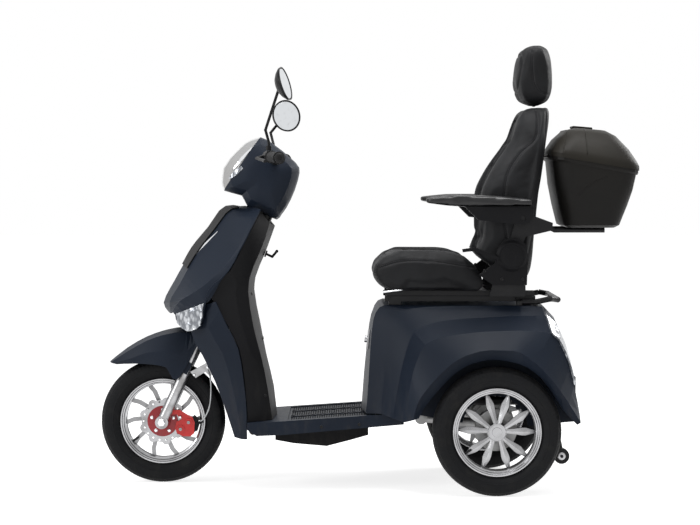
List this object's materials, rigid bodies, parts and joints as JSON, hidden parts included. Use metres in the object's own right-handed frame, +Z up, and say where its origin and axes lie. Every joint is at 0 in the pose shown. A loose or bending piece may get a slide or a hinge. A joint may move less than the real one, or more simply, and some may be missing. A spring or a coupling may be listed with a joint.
{
  "type": "three-wheeled mobility scooter",
  "caption": "Open electric mobility scooter with one steered front wheel, a driven rear axle, a reclining captain seat with folding armrests and a lidded top case.",
  "frame": {"origin": "on the ground, under the middle of the overall length and width", "axes": "+X to the rear, +Y to the rider's right, +Z up"},
  "size_m": [1.7455, 0.77, 1.423],
  "materials": {
    "body_panel": "satin",
    "black_plastic": "matte",
    "black_metal": "satin",
    "alloy": "polished",
    "tyre": "matte",
    "rubber": "matte",
    "lens": "gloss",
    "seat_cover": "matte",
    "case_plastic": "matte",
    "mirror": "gloss",
    "red_paint": "gloss",
    "steel": "satin"
  },
  "bodies": {
    "chassis": {"frame": "black_metal", "footboard": "body_panel", "belly_pan": "black_plastic", "front_cowl": "body_panel", "nose_trim": "black_plastic", "front_signals": "lens", "leg_shield": "body_panel", "knee_panel": "black_plastic", "bag_hook": "black_plastic", "rear_body": "body_panel", "body_latch": "steel", "tail_lamps": "lens", "grab_rail": "black_metal", "rear_panel_plate": "black_plastic", "batteries": "black_plastic", "rear_axle": "steel", "rear_shocks": "steel", "slide_rails": "black_metal", "tip_arms": "black_metal"},
    "steering": {"fork": "alloy", "front_mudguard": "body_panel", "brake_caliper": "red_paint", "handlebar": "black_metal", "grips": "rubber", "head_cowl": "body_panel", "headlamp": "lens", "mirrors": "black_plastic", "mirror_glass": "mirror"},
    "front_wheel": {"front_tyre": "tyre", "front_rim": "alloy", "brake_disc": "steel"},
    "rear_wheel_left": {"tyre_left": "tyre", "rim_left": "alloy"},
    "rear_wheel_right": {"tyre_right": "tyre", "rim_right": "alloy"},
    "tip_wheel_left": {"tip_roller_left": "rubber"},
    "tip_wheel_right": {"tip_roller_right": "rubber"},
    "seat": {"seat_frame": "black_metal", "seat_cushion": "seat_cover", "recliner_covers": "black_plastic"},
    "backrest": {"back_frame": "black_metal", "seat_back": "seat_cover", "headrest": "seat_cover", "case_tub": "case_plastic"},
    "armrest_left_arm": {"armrest_left": "black_plastic"},
    "armrest_right_arm": {"armrest_right": "black_plastic"},
    "lid": {"case_lid": "case_plastic"}
  },
  "joints": [
    {"name": "steer", "type": "hinge", "parent": "chassis", "child": "steering", "pos_m": [-0.64793, 0, 0.202], "axis": [0.4226, 0, 0.9063], "range_deg": [-35, 35]},
    {"name": "front_wheel_spin", "type": "hinge", "parent": "steering", "child": "front_wheel", "pos_m": [-0.67, 0, 0.202], "axis": [0, 1, 0], "continuous": true},
    {"name": "rear_left_spin", "type": "hinge", "parent": "chassis", "child": "rear_wheel_left", "pos_m": [0.4, -0.33, 0.202], "axis": [0, 1, 0], "continuous": true},
    {"name": "rear_right_spin", "type": "hinge", "parent": "chassis", "child": "rear_wheel_right", "pos_m": [0.4, 0.33, 0.202], "axis": [0, 1, 0], "continuous": true},
    {"name": "tip_left_spin", "type": "hinge", "parent": "chassis", "child": "tip_wheel_left", "pos_m": [0.62, -0.152, 0.103], "axis": [0, 1, 0], "continuous": true},
    {"name": "tip_right_spin", "type": "hinge", "parent": "chassis", "child": "tip_wheel_right", "pos_m": [0.62, 0.152, 0.103], "axis": [0, 1, 0], "continuous": true},
    {"name": "seat_slide", "type": "slide", "parent": "chassis", "child": "seat", "axis": [1, 0, 0], "range_m": [-0.06, 0.06]},
    {"name": "backrest_recline", "type": "hinge", "parent": "seat", "child": "backrest", "pos_m": [0.452, 0, 0.749], "axis": [0, 1, 0], "range_deg": [0, 28]},
    {"name": "armrest_left_lift", "type": "hinge", "parent": "backrest", "child": "armrest_left_arm", "pos_m": [0.484, -0.27, 0.869], "axis": [0, 1, 0], "range_deg": [0, 85]},
    {"name": "armrest_right_lift", "type": "hinge", "parent": "backrest", "child": "armrest_right_arm", "pos_m": [0.484, 0.27, 0.869], "axis": [0, 1, 0], "range_deg": [0, 85]},
    {"name": "case_lid_open", "type": "hinge", "parent": "backrest", "child": "lid", "pos_m": [0.583, 0, 1.0653], "axis": [0, -1, 0], "range_deg": [0, 24]}
  ]
}
